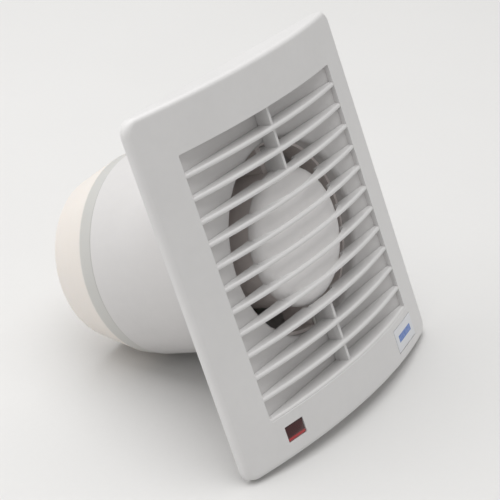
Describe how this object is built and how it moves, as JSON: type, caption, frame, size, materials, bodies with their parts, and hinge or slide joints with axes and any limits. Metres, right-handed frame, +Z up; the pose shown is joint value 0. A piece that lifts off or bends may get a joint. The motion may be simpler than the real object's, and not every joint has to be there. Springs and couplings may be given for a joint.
{
  "type": "bathroom extractor fan",
  "caption": "Axial wall fan with a bowed louvred front cover, round duct spigot, motor carried in the duct and a back-draught shutter",
  "frame": {"origin": "on the duct's axis, in the plane of the wall that the housing's flange lies against", "axes": "+Y into the wall along the duct, -Y into the room, +Z up, +X to the right of a person facing the cover"},
  "size_m": [0.165, 0.1293, 0.176],
  "materials": {
    "white_abs": "white moulded ABS with a fine satin skin",
    "carrier_abs": "off-white moulded ABS",
    "natural_polypropylene": "cream natural polypropylene, satin",
    "impeller_grey": "grey moulded polypropylene",
    "red_lens": "clear dark red acrylic, polished",
    "badge_plate": "blank label plate with a plain blue bar",
    "lamp_glass": "clear glass envelope",
    "silicon_steel": "stacked laminations",
    "zinc_plate": "zinc-plated steel",
    "enamelled_copper": "enamelled copper wire",
    "sintered_bronze": "oil-filled sintered bronze",
    "brass": "bright brass",
    "nylon": "natural nylon",
    "black_rubber": "black rubber",
    "white_wire": "white insulating sleeve",
    "resistor_body": "lacquered resistor body"
  },
  "bodies": {
    "housing": {"housing": "white_abs", "motor_cap": "white_abs", "motor_carrier": "carrier_abs", "shutter_collar": "natural_polypropylene", "neon_lamp": "lamp_glass", "stator_core": "silicon_steel", "front_bearing_bracket": "zinc_plate", "rear_bearing_bracket": "zinc_plate", "motor_screw_left": "zinc_plate", "motor_screw_right": "zinc_plate", "clamp_screw_1": "zinc_plate", "clamp_screw_2": "zinc_plate", "shutter_pin": "zinc_plate", "winding_upper": "enamelled_copper", "winding_lower": "enamelled_copper", "front_bearing": "sintered_bronze", "rear_bearing": "sintered_bronze", "terminal_screw_1": "brass", "terminal_screw_2": "brass", "terminal_screw_3": "brass", "bobbin_upper": "nylon", "bobbin_lower": "nylon", "terminal_block": "nylon", "cable_clamp": "nylon", "lamp_holder": "nylon", "cable_grommet": "black_rubber", "motor_lead_live": "white_wire", "motor_lead_neutral": "white_wire", "lamp_lead_resistor": "white_wire", "lamp_lead_live": "white_wire", "lamp_lead_neutral": "white_wire", "lamp_resistor": "resistor_body"},
    "cover": {"front_cover": "white_abs", "indicator_lens": "red_lens", "badge_plate": "badge_plate"},
    "impeller": {"impeller": "impeller_grey", "motor_shaft": "zinc_plate", "rotor": "silicon_steel", "front_thrust_washer": "nylon", "rear_thrust_washer": "nylon", "impeller_washer": "zinc_plate", "impeller_nut": "brass"},
    "flap_left": {"shutter_flap_left": "natural_polypropylene"},
    "flap_right": {"shutter_flap_right": "natural_polypropylene"}
  },
  "joints": [
    {"name": "cover_release", "type": "slide", "parent": "housing", "child": "cover", "axis": [0, -1, 0], "range_m": [0, 0.03]},
    {"name": "impeller_spin", "type": "hinge", "parent": "housing", "child": "impeller", "pos_m": [0, 0, 0], "axis": [0, 1, 0], "continuous": true},
    {"name": "flap_left_hinge", "type": "hinge", "parent": "housing", "child": "flap_left", "pos_m": [0, 0.1084, 0], "axis": [0, 0, -1], "range_deg": [0, 78], "stiffness_Nm_per_rad": 0.0005},
    {"name": "flap_right_hinge", "type": "hinge", "parent": "housing", "child": "flap_right", "pos_m": [0, 0.1084, 0], "axis": [0, 0, 1], "range_deg": [0, 78], "stiffness_Nm_per_rad": 0.0005}
  ]
}
